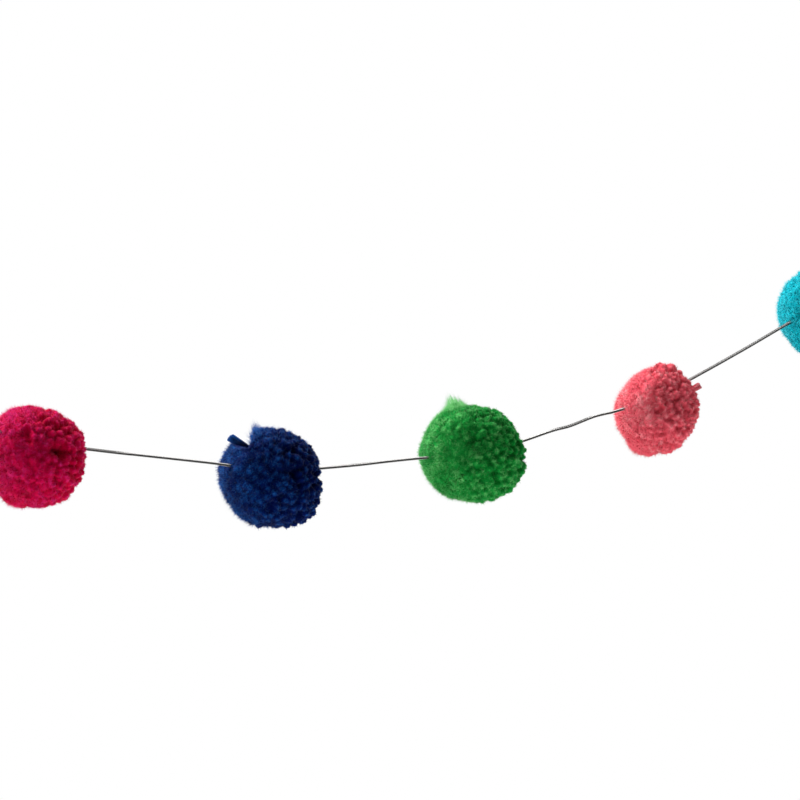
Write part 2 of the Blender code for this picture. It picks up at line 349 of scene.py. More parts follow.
class CordSettings(bpy.types.PropertyGroup):
    """Sizes and finish of the plaited cord and its end loops."""

    width: bpy.props.FloatProperty(
        name="Width", description="Width of the flat braid", default=0.0016, min=0.0008, unit="LENGTH"
    )
    thickness: bpy.props.FloatProperty(
        name="Thickness", description="Thickness of the flat braid", default=0.0013, min=0.0004, unit="LENGTH"
    )
    strands: bpy.props.IntProperty(
        name="Strands", description="Strands in the braid, an odd number", default=5, min=3, max=9
    )
    repeat: bpy.props.FloatProperty(
        name="Repeat",
        description="Length in which a strand goes from edge to edge and back",
        default=0.00375,
        min=0.001,
        unit="LENGTH",
    )
    colour: bpy.props.FloatVectorProperty(
        name="Colour",
        description="Silver-grey of the metallic thread",
        subtype="COLOR",
        default=(0.50, 0.49, 0.48),
    )
    roughness: bpy.props.FloatProperty(
        name="Roughness", description="Roughness of the metallic thread", default=0.42, min=0.0, max=1.0
    )


class PompomSettings(bpy.types.PropertyGroup):
    """Sizes and colours of the yarn pompoms."""

    yarn_ends: bpy.props.IntProperty(
        name="Yarn ends", description="Cut yarn ends on the largest ball", default=640, min=100, max=900
    )
    unevenness: bpy.props.FloatProperty(
        name="Unevenness",
        description="How unevenly the pile is trimmed",
        default=0.0009,
        min=0.0,
        unit="LENGTH",
    )
    fibres: bpy.props.IntProperty(
        name="Fibres", description="Loose fibres on the largest ball", default=32000, min=0, max=34000
    )
    fibre_length: bpy.props.FloatProperty(
        name="Fibre length", description="Length of a loose fibre", default=0.0026, min=0.0005, unit="LENGTH"
    )
    fibre_width: bpy.props.FloatProperty(
        name="Fibre width", description="Width of a loose fibre at its root", default=0.00015, unit="LENGTH"
    )
    magenta: bpy.props.FloatVectorProperty(
        name="Magenta",
        description="Colour of the magenta yarn",
        subtype="COLOR",
        default=(0.50, 0.0006, 0.048),
    )
    blue: bpy.props.FloatVectorProperty(
        name="Royal blue",
        description="Colour of the blue yarn",
        subtype="COLOR",
        default=(0.0006, 0.007, 0.072),
    )
    green: bpy.props.FloatVectorProperty(
        name="Green",
        description="Colour of the green yarn",
        subtype="COLOR",
        default=(0.006, 0.24, 0.034),
    )
    pink: bpy.props.FloatVectorProperty(
        name="Salmon pink",
        description="Colour of the pink yarn",
        subtype="COLOR",
        default=(0.76, 0.10, 0.14),
    )
    turquoise: bpy.props.FloatVectorProperty(
        name="Turquoise",
        description="Colour of the turquoise yarn",
        subtype="COLOR",
        default=(0.001, 0.39, 0.47),
    )


class StageSettings(bpy.types.PropertyGroup):
    """The plain floor, the white surround and the soft studio light."""

    floor_size: bpy.props.FloatProperty(
        name="Floor size", description="Side of the square floor", default=1.9, unit="LENGTH"
    )
    floor_drop: bpy.props.FloatProperty(
        name="Floor drop",
        description="How far the floor lies below the picture's middle",
        default=0.33,
        unit="LENGTH",
    )
    floor_colour: bpy.props.FloatVectorProperty(
        name="Floor colour",
        description="Colour of the plain pale floor",
        subtype="COLOR",
        default=(0.86, 0.86, 0.85),
    )
    surround: bpy.props.FloatProperty(
        name="Surround",
        description="Brightness of the white surround behind the garland",
        default=2.4,
        min=0.0,
    )
    front: bpy.props.FloatProperty(
        name="Front", description="Brightness of the surround on the camera's side", default=0.08, min=0.0
    )
    key_power: bpy.props.FloatProperty(
        name="Key light",
        description="Power of the soft light above, at the left and behind",
        default=24.0,
        unit="POWER",
    )


def unit(vectors):
    return vectors / np.linalg.norm(vectors, axis=-1, keepdims=True)


def direction_to(bearing, elevation):
    bearing, elevation = np.radians(bearing), np.radians(elevation)
    level = np.cos(elevation)
    return np.array([level * np.cos(bearing), level * np.sin(bearing), np.sin(elevation)])


def side_axes(axes):
    """Two unit vectors square to each of the given ones and to each other."""
    spare = np.where(np.abs(axes[..., 2:]) < 0.9, [0.0, 0.0, 1.0], [1.0, 0.0, 0.0])
    across = unit(np.cross(spare, axes))
    return across, unit(np.cross(axes, across))


def smooth_through(points, spacing):
    """Evenly spaced points on the Catmull-Rom curve through the given ones: on each span, the cubic that
    leaves and reaches its two points in the direction of the line between their neighbours."""
    points = np.array(points, float)
    padded = np.vstack([2 * points[0] - points[1], points, 2 * points[-1] - points[-2]])
    before, start, end, after = (padded[i : len(padded) - 3 + i, None] for i in range(4))
    share = np.linspace(0, 1, SPAN_STEPS, endpoint=False)[None, :, None]
    spans = 0.5 * (
        2 * start
        + (end - before) * share
        + (2 * before - 5 * start + 4 * end - after) * share**2
        + (3 * start - before - 3 * end + after) * share**3
    )
    dense = np.vstack([spans.reshape(-1, points.shape[1]), points[-1:]])
    travelled = np.concatenate([[0], np.cumsum(np.linalg.norm(np.diff(dense, axis=0), axis=1))])
    stations = np.linspace(0, travelled[-1], math.ceil(travelled[-1] / spacing) + 1)
    return np.column_stack([np.interp(stations, travelled, dense[:, axis]) for axis in range(dense.shape[1])])


def sweep(rings, tone, tips=None, tip_tone=None):
    """Closed tubes from rings of points, an array of tube, ring, corner and coordinate. Each ring is joined
    to the next by four-cornered faces, the first is closed flat, and the last is closed flat or drawn to
    its tip."""
    count, length, sides = rings.shape[:3]
    corner = np.arange(sides)
    following = (corner + 1) % sides
    along = np.arange(length - 1)[:, None] * sides
    above = along + sides
    quads = np.stack([along + corner, along + following, above + following, above + corner], axis=-1)
    fan = np.arange(1, sides - 1)
    start_cap = np.stack([np.zeros_like(fan), fan + 1, fan], axis=-1)
    last = (length - 1) * sides
    vertices, tones, size = rings.reshape(count, -1, 3), tone.reshape(count, -1), length * sides
    if tips is None:
        end_cap = np.stack([np.zeros_like(fan), fan, fan + 1], axis=-1) + last
    else:
        vertices = np.concatenate([vertices, tips[:, None]], axis=1)
        tones = np.concatenate([tones, tip_tone[:, None]], axis=1)
        end_cap = np.stack([last + corner, last + following, np.full(sides, size)], axis=-1)
        size += 1
    offsets = (np.arange(count) * size)[:, None, None]
    return Patch(
        vertices.reshape(-1, 3),
        (quads.reshape(-1, 4) + offsets).reshape(-1, 4),
        (np.vstack([start_cap, end_cap]) + offsets).reshape(-1, 3),
        tones.ravel(),
    )


def joined(patches):
    """One patch of several."""
    starts = np.cumsum([0] + [len(patch.vertices) for patch in patches])
    return Patch(
        np.vstack([patch.vertices for patch in patches]),
        np.vstack([patch.quads + start for patch, start in zip(patches, starts)]),
        np.vstack([patch.triangles + start for patch, start in zip(patches, starts)]),
        np.concatenate([patch.tone for patch in patches]),
    )


def add_piece(name, patch, material):
    """A smooth mesh object of a patch. Its tone is kept as a point attribute for the material."""
    mesh = bpy.data.meshes.new(name)
    mesh.vertices.add(len(patch.vertices))
    mesh.vertices.foreach_set("co", patch.vertices.astype(np.float32).ravel())
    corners = np.concatenate([patch.quads.ravel(), patch.triangles.ravel()])
    mesh.loops.add(len(corners))
    mesh.loops.foreach_set("vertex_index", corners.astype(np.int32))
    sizes = np.concatenate([np.full(len(patch.quads), 4), np.full(len(patch.triangles), 3)])
    mesh.polygons.add(len(sizes))
    mesh.polygons.foreach_set("loop_start", (np.cumsum(sizes) - sizes).astype(np.int32))
    mesh.update(calc_edges=True)
    mesh.polygons.foreach_set("use_smooth", np.ones(len(sizes), bool))
    tone = mesh.attributes.new("tone", "FLOAT", "POINT")
    tone.data.foreach_set("value", patch.tone.astype(np.float32))
    mesh.materials.append(material)
    mesh.validate()
    piece = bpy.data.objects.new(name, mesh)
    bpy.context.scene.collection.objects.link(piece)
    return piece


def new_material(name, roughness):
    """A material with its node tree and its surface shader."""
    material = bpy.data.materials.new(name)
    material.use_nodes = True
    surface = material.node_tree.nodes["Principled BSDF"]
    surface.inputs["Roughness"].default_value = roughness
    return material, material.node_tree, surface


def add_node(tree, kind, **values):
    """A shader node with its properties set, and its sockets where a value's name is one of them."""
    node = tree.nodes.new(kind)
    for name, value in values.items():
        if name in node.inputs:
            node.inputs[name].default_value = value
        else:
            setattr(node, name, value)
    return node


def noise_at(tree, scale, detail, roughness=0.5):
    """Noise in the object's own coordinates."""
    place = add_node(tree, "ShaderNodeTexCoord")
    noise = add_node(tree, "ShaderNodeTexNoise", Scale=scale, Detail=detail, Roughness=roughness)
    tree.links.new(place.outputs["Object"], noise.inputs["Vector"])
    return noise.outputs["Fac"]


def arithmetic(tree, operation, *values):
    """One sum, product, or product and sum, of sockets and numbers."""
    node = add_node(tree, "ShaderNodeMath", operation=operation)
    for socket, value in zip(node.inputs, values):
        if isinstance(value, bpy.types.NodeSocket):
            tree.links.new(value, socket)
        else:
            socket.default_value = value
    return node.outputs[0]


def add_bump(tree, surface, height, distance):
    bump = add_node(tree, "ShaderNodeBump", Distance=distance)
    tree.links.new(height, bump.inputs["Height"])
    tree.links.new(bump.outputs["Normal"], surface.inputs["Normal"])


def yarn_material(name, colour, depth, bloom):
    """Matt woolly yarn: painted shade in a deeper, purer colour between the ends and a painted highlight in a
    paler one at their cut tips, with soft blotches and a fibrous grain."""
    material, tree, surface = new_material(name, 0.92)
    colour = np.array(colour)
    surface.inputs["Specular IOR Level"].default_value = 0.1
    surface.inputs["Specular Tint"].default_value = (*np.minimum(1.5 * colour, 1.0), 1.0)
    surface.inputs["Sheen Weight"].default_value = 0.4
    surface.inputs["Sheen Roughness"].default_value = 0.3
    surface.inputs["Sheen Tint"].default_value = (*np.minimum(0.25 + colour, 1.0), 1.0)
    tone = add_node(tree, "ShaderNodeAttribute", attribute_name="tone")
    blotches = arithmetic(tree, "MULTIPLY_ADD", noise_at(tree, BLOTCH_SCALE, 3), 0.4, 0.80)
    grain = noise_at(tree, GRAIN_SCALE, 4, 0.6)
    shade = arithmetic(tree, "MULTIPLY", tone.outputs["Fac"], blotches)
    shade = arithmetic(tree, "ADD", shade, arithmetic(tree, "MULTIPLY_ADD", grain, 0.9, -0.38))
    shade = arithmetic(tree, "MULTIPLY", shade, 0.62)
    ramp = add_node(tree, "ShaderNodeValToRGB")
    # The darkest stop is the painted shade in the creases and at the roots, the palest the painted highlight
    # on the cut tips
    ramp.color_ramp.elements[0].position = 0.08
    ramp.color_ramp.elements[0].color = (*(depth * colour**1.4), 1.0)
    ramp.color_ramp.elements[1].position = 0.92
    ramp.color_ramp.elements[1].color = (*np.minimum(colour * 1.15 + np.array(bloom), 1.0), 1.0)
    full = ramp.color_ramp.elements.new(0.50)
    full.color = (*np.minimum(colour, 1.0), 1.0)
    tree.links.new(shade, ramp.inputs["Fac"])
    tree.links.new(ramp.outputs["Color"], surface.inputs["Base Color"])
    add_bump(tree, surface, grain, GRAIN_DEPTH)
    return material


def cord_material(settings):
    """Metallic foil thread with painted light: a painted highlight along a strand's ridge, painted shade on
    its flanks and at the braid's edges, where it turns, and painted glints that come and go."""
    material, tree, surface = new_material("cord_silver", settings.roughness)
    surface.inputs["Metallic"].default_value = 0.45
    surface.inputs["Specular IOR Level"].default_value = 0.12
    # The tone carries painted light: a lit ridge, and painted shade on the flanks, at the edges and where a
    # strand dives
    painted_light_tone = add_node(tree, "ShaderNodeAttribute", attribute_name="tone")
    # Painted glints in the base colour; the same noise makes the bumps
    glints = arithmetic(tree, "MULTIPLY_ADD", noise_at(tree, GLINT_SCALE, 3, 0.7), 1.3, 0.3)
    shade = arithmetic(tree, "MULTIPLY", painted_light_tone.outputs["Fac"], glints)
    ramp = add_node(tree, "ShaderNodeValToRGB")
    colour = np.array(settings.colour)
    ramp.color_ramp.elements[0].position = 0.10
    ramp.color_ramp.elements[0].color = (*(colour * 0.02), 1.0)
    ramp.color_ramp.elements[1].position = 0.95
    ramp.color_ramp.elements[1].color = (*np.minimum(colour * 1.35, 1.0), 1.0)
    tree.links.new(shade, ramp.inputs["Fac"])
    tree.links.new(ramp.outputs["Color"], surface.inputs["Base Color"])
    add_bump(tree, surface, glints, GLINT_DEPTH)
    return material


def cord_points(spacing):
    """The cord's smooth route in space."""
    return smooth_through([(x, 0.0, z) for x, z in ROUTE], spacing)


def plait(line, facing, settings):
    """A flat braid along a line. Each strand swings from edge to edge as a sine of the distance travelled
    less a ninth of the sine three times as fast, all strands a share of a turn apart, and rises over one
    neighbour and dips under the next as a faster sine of the same angle. Its section is a flat diamond,
    smoothed by its shading. facing is the way that the flat side faces."""
    tangent = unit(np.gradient(line, axis=0))
    facing = unit(facing - (facing * tangent).sum(axis=1, keepdims=True) * tangent)
    across = np.cross(tangent, facing)
    travelled = np.concatenate([[0], np.cumsum(np.linalg.norm(np.diff(line, axis=0), axis=1))])
    strand = np.arange(settings.strands)[:, None]
    angle = 2 * math.pi * (travelled / settings.repeat + strand / settings.strands)
    flat, deep = STRAND_WIDTH * settings.width, STRAND_DEPTH * settings.thickness
    swing = (settings.width / 2 - flat / 2) * (np.sin(angle) - np.sin(3 * angle) / 9) * SWING_SHARE
    rise = (settings.thickness - deep) / 2 * np.sin((settings.strands - 1) * angle)
    centre = line + swing[..., None] * across + rise[..., None] * facing
    run = unit(np.gradient(centre, axis=1))
    wide = unit(np.cross(run, np.broadcast_to(facing, run.shape)))
    thick = np.cross(wide, run)
    section = np.array([(1, 0), (0, 1), (-1, 0), (0, -1)]) * (flat * SECTION_REACH, deep * SECTION_REACH)
    rings = (
        centre[:, :, None]
        + section[None, None, :, :1] * wide[:, :, None]
        + section[None, None, :, 1:] * thick[:, :, None]
    )
    # Painted light in the tone: shade painted at the braid's edges, where a strand dives and on its flanks,
    # and the ridge painted lit
    edge = np.abs(np.sin(angle))
    top = np.abs(np.sin((settings.strands - 1) * angle))
    lit = (1 - EDGE_SHADE * edge**4) * (SHADED_DIVE_TONE + (1 - SHADED_DIVE_TONE) * top)
    shaded_flank = SHADED_FLANK_TONE * lit * (1 - FLANK_SHADE * edge**2)
    return sweep(rings, np.stack([shaded_flank, lit, shaded_flank, lit], axis=2))


def turned_facing(line):
    """Which way the free cord's flat side faces at each point of its line, from the table of its turns."""
    angle = np.radians(np.interp(line[:, 0], *np.array(TURNS).T))
    tangent = unit(np.gradient(line, axis=0))
    upwards = np.column_stack([-tangent[:, 2], np.zeros(len(line)), tangent[:, 0]])
    return upwards * np.sin(angle)[:, None] - np.array([0.0, 1.0, 0.0]) * np.cos(angle)[:, None]


def end_place(end, inner):
    """The end loop's frame, outwards from the cord's end, towards the back or front, and upwards, and where
    it starts, a little past the cord's end."""
    outwards = unit(end - inner)
    upwards = np.array([-outwards[2], 0.0, outwards[0]])
    upwards *= math.copysign(1.0, upwards[2])
    return np.array([outwards, np.cross(upwards, outwards), upwards]), end + outwards * CLEARANCE


def loop_line(spacing):
    """A drop-shaped loop: it runs out and back as a cosine and swells to one side and the other as a
    product of two sines of the same angle."""
    angle = np.linspace(0, 2 * math.pi, LOOP_STEPS)
    start = KNOT_LENGTH - LOOP_SUNK
    along = start + (KNOT_LENGTH + LOOP_REACH + CORD_HALF_WIDTH - start) * (1 - np.cos(angle)) / 2
    swell = np.sin(angle) * np.sin(angle / 2)
    across = LOOP_FULLNESS * LOOP_HALF_WIDTH * swell + LOOP_FOOT * np.cos(angle / 2)
    return smooth_through(np.column_stack([along, np.zeros_like(along), across]), spacing)


def knot_line(spacing):
    """The cord's wraps round the knot: a helix whose radius draws in at both ends as a low power of a half
    sine."""
    share = np.linspace(0, 1, WRAP_STEPS * KNOT_WRAPS)
    angle = 2 * math.pi * KNOT_WRAPS * share
    radius = KNOT_END_RADIUS + (KNOT_RADIUS - KNOT_END_RADIUS) * np.sin(math.pi * share) ** KNOT_FULLNESS
    along = CORD_HALF_WIDTH + (KNOT_LENGTH - 2 * CORD_HALF_WIDTH) * share
    return smooth_through(np.column_stack([along, radius * np.cos(angle), radius * np.sin(angle)]), spacing)


def looped_end(end, inner, settings, spacing):
    """The knot, loop and tail at one end of the cord, as plaits along their own lines in the end's frame."""
    axes, start = end_place(end, inner)
    loop, knot = loop_line(spacing), knot_line(spacing)
    tail = smooth_through([(along, 0.0, across) for along, across in TAIL_ROUTE], spacing)
    sideways = np.array([[0.0, 1.0, 0.0]])
    faces = (
        (loop, np.repeat(sideways, len(loop), axis=0)),
        (knot, knot * np.array([0.0, 1.0, 1.0])),
        (tail, np.repeat(sideways, len(tail), axis=0)),
    )
    return joined([plait(line @ axes + start, facing @ axes, settings) for line, facing in faces])


def pile_reach(ball, directions):
    """How far the trimmed pile reaches each way: the ball's own radii, with its lumps as soft bells on
    top."""
    reach = 1 / np.linalg.norm(directions / np.array(ball.radii), axis=-1)
    for lump in LUMPS:
        if lump.ball == ball.name:
            cosine = np.clip(directions @ direction_to(lump.bearing, lump.elevation), -1, 1)
            reach = reach + lump.rise * np.exp(-((np.degrees(np.arccos(cosine)) / lump.spread) ** 2))
    return reach


def spread_directions(count, random):
    """Directions all over the sphere: random ones, each pushed off its near neighbours in a few rounds, by
    a bell of the distance between them."""
    directions = unit(random.normal(size=(count, 3)))
    spacing = math.sqrt(4 * math.pi / count)
    for _ in range(SPREAD_ROUNDS):
        gaps = directions[:, None] - directions[None]
        nearness = np.exp(-((gaps**2).sum(axis=2)) / (PUSH_SPREAD * spacing) ** 2)
        directions = unit(directions + PUSH * (gaps * nearness[:, :, None]).sum(axis=1))
    return directions


def groove_opening(groove, directions):
    """A groove runs along a great circle. For each direction: the way across the circle, how far across it
    the direction stands, and how open the groove is there, which falls from its middle to its ends as one
    less the fourth power of the share of the way."""
    start, stop = direction_to(*groove.start), direction_to(*groove.stop)
    middle, along, aside = unit(start + stop), unit(stop - start), unit(np.cross(start, stop))
    share = np.arctan2(directions @ along, directions @ middle) / np.arccos(middle @ stop)
    return aside, directions @ aside, groove.half_width * np.maximum(0.0, 1 - share**4)


def parted(ball, directions, part=1.0):
    """Directions moved aside from the ball's grooves, straight away from each groove's line to at least its
    opening there, or a part of it."""
    for groove in GROOVES:
        if groove.ball == ball.name:
            aside, gap, opening = groove_opening(groove, directions)
            least = part * opening + GROOVE_SQUEEZE * np.abs(gap)
            moved = np.maximum(np.abs(gap), least) * np.where(gap < 0, -1, 1)
            directions = unit(directions + (moved - gap)[:, None] * aside)
    return directions


def combed(ball, tips):
    """Fibres' tips combed out of the ball's grooves, at the height they have."""
    height = np.linalg.norm(tips, axis=1, keepdims=True)
    return parted(ball, tips / height, COMBED_PART) * height


def clear_of_cord(points, line, distance):
    """Points moved straight out from the cord's line to at least that distance from it."""
    moved = points.copy()
    line = line[np.linalg.norm(line, axis=1) < CORD_SEARCH]
    near = np.flatnonzero(np.abs(points[:, 1] - line[0, 1]) < distance)
    gaps = points[near][:, None] - line[None]
    nearest = np.argmin((gaps**2).sum(axis=2), axis=1)
    offsets = gaps[np.arange(len(nearest)), nearest]
    length = np.linalg.norm(offsets, axis=1, keepdims=True)
    moved[near] = line[nearest] + offsets * np.maximum(1.0, distance / np.maximum(length, LEAST_GAP))
    return moved


def yarn_ends(roots, tips, widths, tone, random):
    """Closed lobed stems from roots to tips, the solid middles of long yarn ends: each ring's radius is the
    end's half width times its swell there, with a ripple round it for the plies, which turn on the way up,
    and a little unevenness."""
    axes = tips - roots
    across, side = side_axes(unit(axes))
    share = np.array(END_STATIONS)[None, :, None]
    angle = 2 * math.pi * np.arange(END_SIDES) / END_SIDES
    phase = random.uniform(0, 2 * math.pi, (len(roots), 1, 1))
    ripple = 1 + PLY_DEPTH * np.cos(PLIES * angle + phase + PLY_TWIST * share)
    uneven = 1 + random.normal(0, MIDDLE_UNEVENNESS, (len(roots), len(END_STATIONS), END_SIDES))
    radius = widths[:, None, None] / 2 * np.array(END_SWELL)[None, :, None] * ripple * uneven
    centre = roots[:, None, None] + share[..., None] * axes[:, None, None]
    rings = centre + radius[..., None] * (
        np.cos(angle)[None, None, :, None] * across[:, None, None]
        + np.sin(angle)[None, None, :, None] * side[:, None, None]
    )
    # Painted shade, darkest at the root and fading towards the tip
    depth = SHADED_ROOT_TONE + (1 - SHADED_ROOT_TONE) * share**2
    return sweep(rings, tone[:, None, None] * np.broadcast_to(depth, radius.shape), tips, tone)


def swirled(directions, random):
    """Directions leant over in soft swirls: each of a few random places on the sphere leans those round it,
    by a bell of their distance from it, in a random way along the surface."""
    places = unit(random.normal(size=(SWIRLS, 3)))
    ways = random.normal(size=(SWIRLS, 3))
    ways -= (ways * places).sum(axis=1, keepdims=True) * places
    nearness = np.exp(-((directions[:, None] - places[None]) ** 2).sum(axis=2) / SWIRL_SPREAD**2)
    return unit(directions + SWIRL_LEAN * nearness @ ways)


def needles(starts, tips, thickness, tones, pointed):
    """Closed three-sided needles, drawn to a point or cut blunt. Each has two tones, at its start and at
    its tip."""
    across, side = side_axes(unit(tips - starts))
    corners = 2 * math.pi * np.arange(NEEDLE_SIDES) / NEEDLE_SIDES
    swing = np.cos(corners)[None, :, None] * across[:, None] + np.sin(corners)[None, :, None] * side[:, None]
    foot = starts[:, None] + thickness[:, None, None] / 2 * swing
    shade = np.repeat(tones[:, :, None], NEEDLE_SIDES, axis=2)
    if pointed:
        return sweep(foot[:, None], shade[:, :1], tips, tones[:, 1])
    head = tips[:, None] + HEAD_SHARE * thickness[:, None, None] / 2 * swing
    return sweep(np.stack([foot, head], axis=1), shade)


def pile_surface(ball, ends, directions):
    """Points of the pile's skin, with their tone and fray. Over each yarn end the skin falls from the end's
    own trim as the square of the distance from its middle, and the highest end wins, so that the domes meet
    in creases, shallower where the ends are frayed. At a groove's line the skin dips to the groove's
    floor."""
    half_spacing = 0.5 * math.sqrt(4 * math.pi / len(ends.reach) * HONEYCOMB)
    away = 2 * (1 - directions @ ends.directions.T) / half_spacing**2
    heights = ends.reach - ends.crease * away
    nearest = np.argmax(heights, axis=1)
    every = np.arange(len(directions))
    height, away, fray = heights[every, nearest], away[every, nearest], ends.fray[nearest]
    floor, closed = np.zeros(len(directions)), np.zeros(len(directions))
    for groove in GROOVES:
        if groove.ball == ball.name:
            _, gap, opening = groove_opening(groove, directions)
            near = np.exp(-((gap / CLEFT_EDGE) ** 2)) * (opening > 0)
            closed = np.maximum(closed, near)
            floor = np.maximum(floor, CLEFT_SHARE * opening * near)
    spread = unit(parted(ball, directions) * (1 - closed)[:, None] + directions * closed[:, None])
    height = height * (1 - floor)
    # Painted shade in the creases between the domes, less where the ends are frayed, and in the clefts
    creased = 1 - (CREASE_SHADE - FRAYED_SHADE * fray) * np.minimum(away, CREASE_LIMIT)
    tone = ends.tone[nearest] * creased * (1 - CLEFT_SHADE * closed)
    return spread * height[:, None], tone, fray


def pile_skin(ball, ends, random):
    """The closed skin of the pile on rings of latitude, each ring's radius the sine of its angle from the
    pole. Every point stands a little higher or lower than the skin's own surface, at random."""
    fall = math.pi * (np.arange(1, SKIN_ROWS) / SKIN_ROWS)[::-1, None]
    turn = 2 * math.pi * np.arange(2 * SKIN_ROWS) / (2 * SKIN_ROWS)
    directions = np.stack(
        [np.sin(fall) * np.cos(turn), np.sin(fall) * np.sin(turn), np.cos(fall) * np.ones_like(turn)], axis=-1
    )
    points, tone, _ = pile_surface(ball, ends, directions.reshape(-1, 3))
    points += unit(points) * random.normal(0, SKIN_ROUGHNESS, (len(points), 1))
    tone = tone * random.uniform(*SKIN_TONES, len(tone))
    top, top_tone, _ = pile_surface(ball, ends, np.array([[0.0, 0.0, 1.0]]))
    return sweep(points.reshape(1, *directions.shape), tone.reshape(1, *directions.shape[:2]), top, top_tone)


def loose_fibres(ball, ends, count, settings, random):
    """Fine pointed needles all over the skin: each leans anyhow, the less and the longer where the ends are
    frayed, and stops where the trim or a little fringe past it does. One in four is a thicker wisp."""
    start, tone, fray = pile_surface(ball, ends, unit(random.normal(size=(count, 3))))
    upwards = unit(start)
    lean = (FIBRE_LEAN - FRAYED_LEAN * fray)[:, None] * random.normal(0, FIBRE_SCATTER, (count, 3))
    length = settings.fibre_length * (SHORT_FIBRE + FRAYED_FIBRE * fray)
    length = length * random.uniform(*FIBRE_LENGTHS, count)
    start -= upwards * FIBRE_SUNK
    tip = start + unit(upwards + lean) * length[:, None]
    fringe = FRINGE * (FRINGE_LEAST + fray) * random.uniform(0, 1, count) ** FRINGE_POWER
    limit = pile_reach(ball, unit(tip)) + TRIM_RISE + fringe
    tip = combed(ball, tip * np.minimum(1.0, limit / np.linalg.norm(tip, axis=1))[:, None])
    shade = tone * random.uniform(*FIBRE_TONES, count)
    thicker = np.where(np.arange(count) % THICKER_EVERY == 0, THICKER_SHARE, 1.0)
    thick = settings.fibre_width * random.uniform(*FIBRE_WIDTHS, count) * thicker
    # Painted shade at each fibre's root and a painted highlight at its tip
    tones = np.stack([FIBRE_SHADED_ROOT_TONE * shade, FIBRE_HIGHLIGHT_TONE * shade], axis=1)
    return needles(start, tip, thick, tones, True)


def tuft_brush(ball, random):
    """The wisps of the ball's longer yarn ends: needles side by side from the root to the cut. A fray cuts
    the outer ones shorter, so that the end comes to a ragged point, and scatters their tips."""
    patches = []
    for tuft in TUFTS:
        if tuft.ball == ball.name:
            foot = direction_to(tuft.bearing, tuft.elevation + tuft.lean)
            direction = direction_to(tuft.bearing, tuft.elevation)
            across, side = side_axes(direction)
            angle = random.uniform(0, 2 * math.pi, (tuft.wisps, 1))
            out = np.sqrt(random.uniform(0, 1, (tuft.wisps, 1)))
            offset = (np.cos(angle) * across + np.sin(angle) * side) * out * tuft.width / 2
            short = tuft.fray * (TUFT_POINT * out + TUFT_RAGGED * random.uniform(0, 1, (tuft.wisps, 1)) ** 2)
            start = foot * TUFT_FOOT * np.mean(ball.radii) + offset * TUFT_GATHERED
            tip = direction * tuft.reach * (1 - short) + offset
            tip += random.normal(0, TUFT_SCATTER + FRAYED_SCATTER * tuft.fray, (tuft.wisps, 3))
            # The tuft's last value lifts its wisps into the painted highlight; their roots get painted shade
            shade = tuft.paleness * random.uniform(*TUFT_TONES, tuft.wisps)
            thick = WISP_WIDTH * random.uniform(*WISP_WIDTHS, tuft.wisps)
            thick = thick * (WISP_FULL - WISP_THINNED * tuft.fray)
            tones = np.stack([TUFT_SHADED_ROOT_TONE * shade, shade], axis=1)
            patches.append(needles(start, tip, thick, tones, tuft.fray > POINTED_FRAY))
    return patches


def tuft_ends(ball):
    """Roots, tips and widths of the solid middles of the ball's longer yarn ends."""
    tufts = [tuft for tuft in TUFTS if tuft.ball == ball.name]
    feet = np.array([direction_to(tuft.bearing, tuft.elevation + tuft.lean) for tuft in tufts]).reshape(-1, 3)
    directions = np.array([direction_to(tuft.bearing, tuft.elevation) for tuft in tufts]).reshape(-1, 3)
    reach = np.array([tuft.reach * (1 - MIDDLE_SHORT * tuft.fray) for tuft in tufts])
    return (
        feet * ROOT_SHARE * np.mean(ball.radii),
        directions * reach[:, None],
        np.array([tuft.width * (1 - MIDDLE_THIN * tuft.fray) for tuft in tufts]),
    )


def pompom_patch(ball, settings, line):
    """All of one ball about its centre: its domed skin, its loose fibres and its longer yarn ends, parted
    round the cord. An end frays the more, the further to the left it stands."""
    random = np.random.default_rng(ball.seed)
    share = (np.mean(ball.radii) / LARGEST_RADIUS) ** 2
    count = int(settings.yarn_ends * share)
    spread = spread_directions(count, random)
    directions = swirled(unit(spread + random.normal(0, SPREAD_JITTER, spread.shape)), random)
    reach = pile_reach(ball, directions) + TRIM_RISE - SKIN_DROP
    reach = reach + random.uniform(*TRIM_RANGE, count) * settings.unevenness
    scatter = random.normal(0, FRAY_SCATTER, count)
    fray = np.clip(FRAY_MIDDLE - FRAY_SLOPE * directions[:, 0] + scatter, *FRAY_RANGE)
    crease = CREASE * (1 - SMOOTHED * fray) * random.uniform(*CREASE_RANGE, count)
    ends = Ends(directions, reach, crease, fray, random.uniform(*END_TONES, count))
    fibres = loose_fibres(ball, ends, int(settings.fibres * share), settings, random)
    patches = [pile_skin(ball, ends, random), fibres, *tuft_brush(ball, random)]
    roots, tips, widths = tuft_ends(ball)
    if len(roots):
        # The solid middles are painted a little darker, as shade inside the brush of wisps
        patches.append(yarn_ends(roots, tips, widths, np.full(len(roots), SHADED_MIDDLE_TONE), random))
    patch = joined(patches)
    return patch._replace(vertices=clear_of_cord(patch.vertices, line, PILE_CLEARANCE))


def area_light(name, power, size, place, target):
    """A soft square light that looks at a point."""
    data = bpy.data.lights.new(name, "AREA")
    data.energy = power
    data.size = size
    light = bpy.data.objects.new(name, data)
    bpy.context.scene.collection.objects.link(light)
    aim(light, place, target)


def aim(thing, place, target):
    """Puts a light or camera at a place and points it at a target, level."""
    outlook = np.array(target) - np.array(place)
    heading = math.atan2(-outlook[0], outlook[1])
    pitch = math.atan2(outlook[2], math.hypot(outlook[0], outlook[1]))
    thing.location = place
    thing.rotation_euler = (math.pi / 2 + pitch, 0.0, heading)


